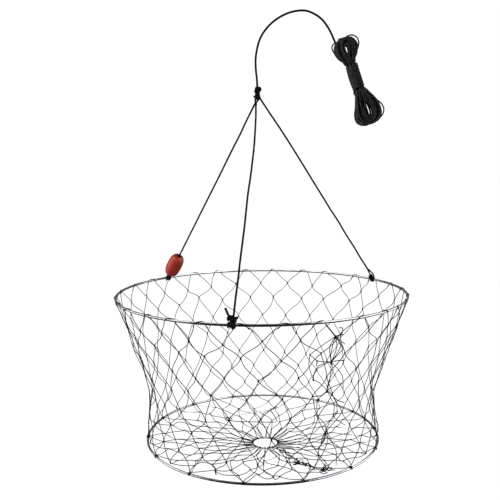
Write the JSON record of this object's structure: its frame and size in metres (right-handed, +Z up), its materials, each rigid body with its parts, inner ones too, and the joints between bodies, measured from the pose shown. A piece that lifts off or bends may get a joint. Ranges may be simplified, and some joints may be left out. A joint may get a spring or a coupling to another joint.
{
  "type": "folding crab trap",
  "caption": "Folding crab net: two wire hoops joined by waisted knotted netting with a netted floor, three-leg cord harness with barrel float, pull rope hank and a wire bait clip",
  "frame": {"origin": "on the ground plane under the shared axis of the two hoops", "axes": "+Z up, -Y towards the front harness tie, +X to the right towards the hank"},
  "size_m": [0.7556, 0.756, 1.0992],
  "materials": {
    "galvanised_wire": "satin galvanised",
    "net_twine": "tarred twine",
    "harness_cord": "twisted cord",
    "float_body": "moulded foam with a soft skin",
    "stainless_wire": "drawn wire"
  },
  "bodies": {
    "base": {"bottom_ring": "galvanised_wire", "bottom_lashing_01": "net_twine", "bottom_lashing_02": "net_twine", "bottom_lashing_03": "net_twine", "bottom_lashing_04": "net_twine", "bottom_lashing_05": "net_twine", "bottom_lashing_06": "net_twine", "bottom_lashing_07": "net_twine", "bottom_lashing_08": "net_twine", "bottom_lashing_09": "net_twine", "bottom_lashing_10": "net_twine", "bottom_lashing_11": "net_twine", "bottom_lashing_12": "net_twine", "bottom_lashing_13": "net_twine", "bottom_lashing_14": "net_twine", "floor_net": "net_twine", "gather_cord": "net_twine", "floor_seam_lacing": "net_twine", "side_net": "net_twine", "side_seam_lacing": "net_twine", "bait_clip_frame": "stainless_wire"},
    "upper_hoop": {"top_ring": "galvanised_wire", "leg_left": "harness_cord", "leg_front": "harness_cord", "leg_right": "harness_cord"},
    "tie_left_loop": {"tie_left": "harness_cord"},
    "tie_front_loop": {"tie_front": "harness_cord"},
    "tie_right_loop": {"tie_right": "harness_cord"},
    "float_body": {"float": "float_body"},
    "apex": {"harness_knot": "harness_cord"},
    "rope": {"pull_rope": "harness_cord"},
    "hank": {"rope_hank": "harness_cord", "hank_wrap": "harness_cord"},
    "clip_arm": {"bait_clip_arm": "stainless_wire"}
  },
  "joints": [
    {"name": "ring_fold", "type": "slide", "parent": "base", "child": "upper_hoop", "axis": [0, 0, -1], "range_m": [0, 0.3707], "deforming": ["side_net", "side_seam_lacing"]},
    {"name": "harness_drop", "type": "slide", "parent": "upper_hoop", "child": "apex", "axis": [0, 0, -1], "range_m": [0, 0.28], "deforming": ["leg_left", "leg_front", "leg_right"]},
    {"name": "tie_left_swing", "type": "hinge", "parent": "upper_hoop", "child": "tie_left_loop", "pos_m": [-0.27648, 0.25335, 0.3852], "axis": [0.6756, 0.7373, 0], "range_deg": [0, 23]},
    {"name": "tie_front_swing", "type": "hinge", "parent": "upper_hoop", "child": "tie_front_loop", "pos_m": [-0.06028, -0.37012, 0.3852], "axis": [-0.987, 0.1607, 0], "range_deg": [0, 23]},
    {"name": "tie_right_swing", "type": "hinge", "parent": "upper_hoop", "child": "tie_right_loop", "pos_m": [0.32144, 0.19314, 0.3852], "axis": [0.515, -0.8572, 0], "range_deg": [0, 23]},
    {"name": "float_slide", "type": "slide", "parent": "tie_left_loop", "child": "float_body", "axis": [0.4391, -0.4099, 0.7995], "range_m": [0, 0.25]},
    {"name": "rope_swing", "type": "hinge", "parent": "apex", "child": "rope", "pos_m": [-0.005, 0, 0.9152], "axis": [0, 1, 0], "range_deg": [-15, 15]},
    {"name": "hank_swing", "type": "hinge", "parent": "rope", "child": "hank", "pos_m": [0.1895, 0, 1.022], "axis": [0, 1, 0], "range_deg": [-30, 30]},
    {"name": "clip_squeeze", "type": "hinge", "parent": "base", "child": "clip_arm", "pos_m": [-0.095, 0.092, 0.0083], "axis": [0, 0, -1], "range_deg": [0, 30], "stiffness_Nm_per_rad": 0.05}
  ],
  "couplings": [
    {"joint": "tie_left_swing", "follows": "harness_drop", "rad_per_m": 1.409},
    {"joint": "tie_front_swing", "follows": "harness_drop", "rad_per_m": 1.409},
    {"joint": "tie_right_swing", "follows": "harness_drop", "rad_per_m": 1.409}
  ]
}
